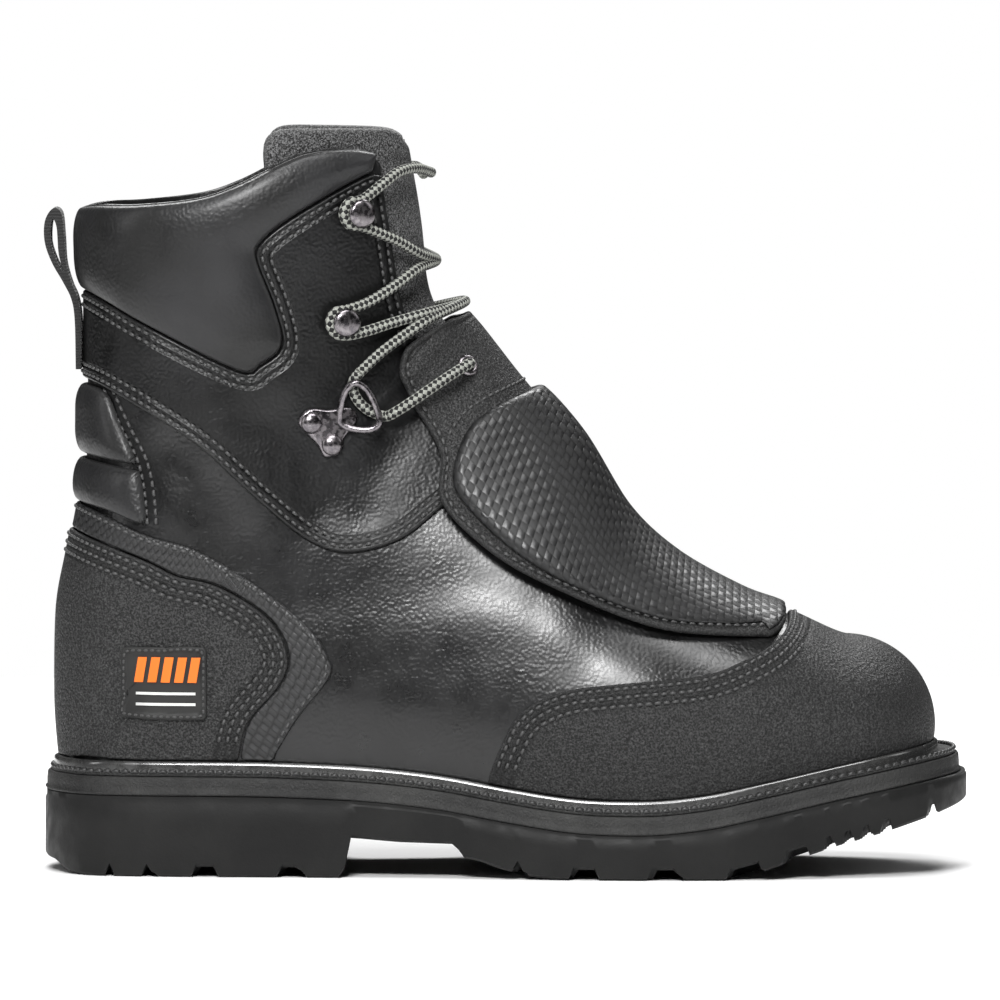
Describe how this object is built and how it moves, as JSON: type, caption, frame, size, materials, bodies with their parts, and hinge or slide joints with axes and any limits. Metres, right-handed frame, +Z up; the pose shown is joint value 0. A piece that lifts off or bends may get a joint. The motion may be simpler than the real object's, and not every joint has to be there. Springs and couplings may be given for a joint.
{
  "type": "metatarsal guard boot",
  "caption": "High black leather work boot with a padded guard over the laces, grained toe cap and counter, padded collar, crossed laces on hooks and a lugged welted sole",
  "frame": {"origin": "middle of the boot's length and width, on the floor", "axes": "+X toward the toe, -Y toward the lateral side, +Z up"},
  "size_m": [0.3116, 0.1145, 0.2506],
  "materials": {
    "outsole_rubber": "matt black rubber",
    "midsole_rubber": "rough black rubber",
    "welt_rubber": "satin black rubber with stitching",
    "insole_foam": "dark grey lining cloth on foam",
    "smooth_leather": "smooth oiled black leather",
    "grained_leather": "finely grained matt black leather",
    "tongue_leather": "grained black leather, padded",
    "woven_leather": "black leather embossed with a fine weave",
    "padding": "soft padded black leather",
    "badge_rubber": "black rubber with orange bars",
    "webbing": "black webbing",
    "lace": "black round lace with grey flecks",
    "dark_nickel": "dark nickel"
  },
  "bodies": {
    "root": {"ankle_pad_lower": "padding", "ankle_pad_upper": "padding", "badge": "badge_rubber", "collar": "padding", "counter": "grained_leather", "counter_strip": "woven_leather", "guard_eyelet_lateral": "dark_nickel", "guard_eyelet_medial": "dark_nickel", "guard_flap": "grained_leather", "guard_panel": "woven_leather", "insole": "insole_foam", "lace_crossings": "lace", "lace_lock_lateral": "dark_nickel", "lace_lock_medial": "dark_nickel", "lace_strand_lateral": "lace", "lace_strand_medial": "lace", "middle_hook_lateral": "dark_nickel", "middle_hook_medial": "dark_nickel", "midsole": "midsole_rubber", "outsole": "outsole_rubber", "pull_loop": "webbing", "quarter": "smooth_leather", "toe_cap": "grained_leather", "tongue": "tongue_leather", "top_hook_lateral": "dark_nickel", "top_hook_medial": "dark_nickel", "upper": "smooth_leather", "welt": "welt_rubber"}
  },
  "joints": []
}
